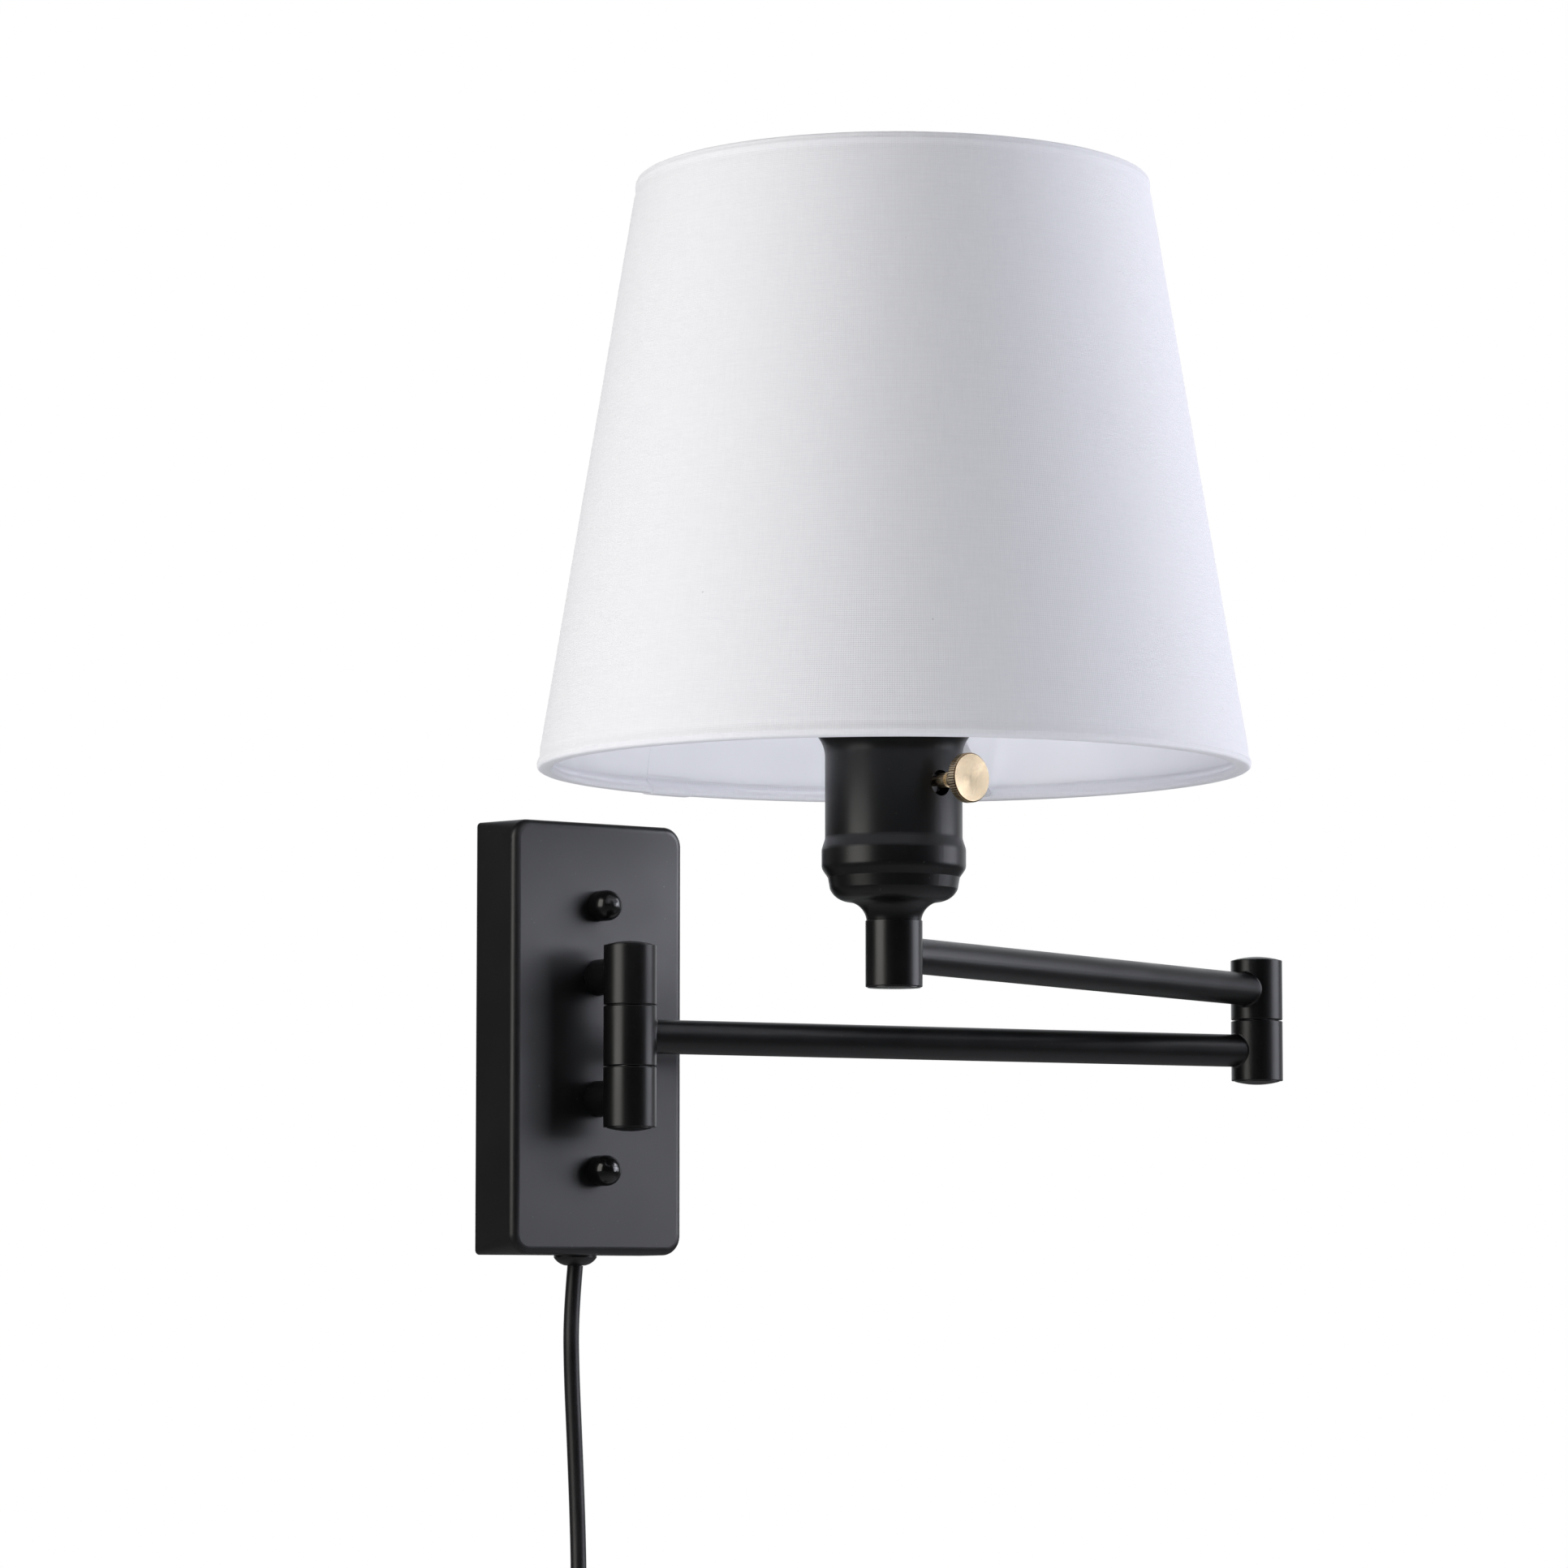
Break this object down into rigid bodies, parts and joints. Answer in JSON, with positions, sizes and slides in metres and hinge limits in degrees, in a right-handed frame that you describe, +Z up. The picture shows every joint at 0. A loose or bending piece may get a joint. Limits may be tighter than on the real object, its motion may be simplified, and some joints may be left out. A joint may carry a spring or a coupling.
{
  "type": "swing arm wall sconce",
  "caption": "Plug-in wall light: a tall wall plate, two jointed tubular arms, a lamp holder cup with a brass turn knob and a tapered white drum shade.",
  "frame": {"origin": "middle of the wall plate's back, on the wall, halfway between the two wall screw slots", "axes": "+Z up, +Y into the wall, +X along the wall to the right as seen from the room; the arms stand at rest half folded as in the picture"},
  "size_m": [0.3869, 0.3108, 0.6669],
  "materials": {
    "black_metal": "satin black powder coat on steel",
    "cap_nut_black": "semi-gloss black on turned steel",
    "zinc_steel": "zinc plated steel",
    "green_screw": "green dyed steel",
    "nylon": "black nylon",
    "black_rubber": "matt black flexible PVC",
    "black_plastic": "moulded black plastic",
    "tie_fabric": "black woven hook and loop tape",
    "brass_contact": "plain brass",
    "brass_knob": "turned brass, radially brushed face and knurled edge",
    "phenolic": "moulded black phenolic",
    "wire_blue": "wire insulation",
    "white_wire": "white coated steel wire",
    "shade_liner": "white styrene sheet",
    "shade_fabric": "white plain weave cloth",
    "blade_metal": "nickel plated brass"
  },
  "bodies": {
    "wall_unit": {"backplate": "black_metal", "wall_bracket": "zinc_steel", "bracket_studs": "zinc_steel", "cap_nuts": "cap_nut_black", "ground_screw": "green_screw", "wire_splices": "black_plastic", "supply_wires": "wire_blue", "arm_wires": "wire_blue", "wall_barrel_upper": "black_metal", "wall_barrel_lower": "black_metal", "wall_spindle": "zinc_steel", "wall_washers": "nylon", "wall_cap_top": "black_metal", "wall_cap_bottom": "black_metal", "knuckle_nipples": "zinc_steel", "nipple_nuts": "zinc_steel", "cord_bushing": "black_plastic", "bushing_nut": "black_plastic", "cord_lead": "black_rubber", "cord_coil": "black_rubber", "cord_tie": "tie_fabric", "plug_relief": "black_rubber", "plug_body": "black_plastic", "plug_blades": "blade_metal"},
    "lower_arm": {"wall_barrel_middle": "black_metal", "lower_arm_tube": "black_metal", "elbow_barrel_lower": "black_metal", "elbow_spindle": "zinc_steel", "elbow_washer": "nylon", "elbow_cap_bottom": "black_metal"},
    "upper_arm": {"elbow_barrel_upper": "black_metal", "elbow_cap_top": "black_metal", "upper_arm_tube": "black_metal", "post_barrel": "black_metal", "post_cap": "black_metal", "socket_cup": "black_metal", "holder_nipple": "zinc_steel", "cup_locknut": "zinc_steel", "switch_block": "phenolic", "switch_bush": "phenolic", "socket_body": "phenolic", "screw_shell": "brass_contact", "centre_contact": "brass_contact", "shade_ring_nut": "phenolic", "fitter_ring": "white_wire", "spider_arm_1": "white_wire", "spider_arm_2": "white_wire", "spider_arm_3": "white_wire", "shade_ring_low": "white_wire", "shade_ring_high": "white_wire", "shade_liner": "shade_liner", "shade_fabric": "shade_fabric"},
    "knob": {"switch_knob": "brass_knob"}
  },
  "joints": [
    {"name": "wall_swing", "type": "hinge", "parent": "wall_unit", "child": "lower_arm", "pos_m": [0, -0.045, 0], "axis": [0, 0, 1], "range_deg": [-176.7, 15.3]},
    {"name": "elbow_swing", "type": "hinge", "parent": "lower_arm", "child": "upper_arm", "pos_m": [0.26645, -0.08863, 0.0237], "axis": [0, 0, -1], "range_deg": [-306.6, 7.4]},
    {"name": "switch_turn", "type": "hinge", "parent": "upper_arm", "child": "knob", "pos_m": [0.01842, -0.22263, 0.08285], "axis": [0.1045, -0.9945, 0], "continuous": true}
  ]
}
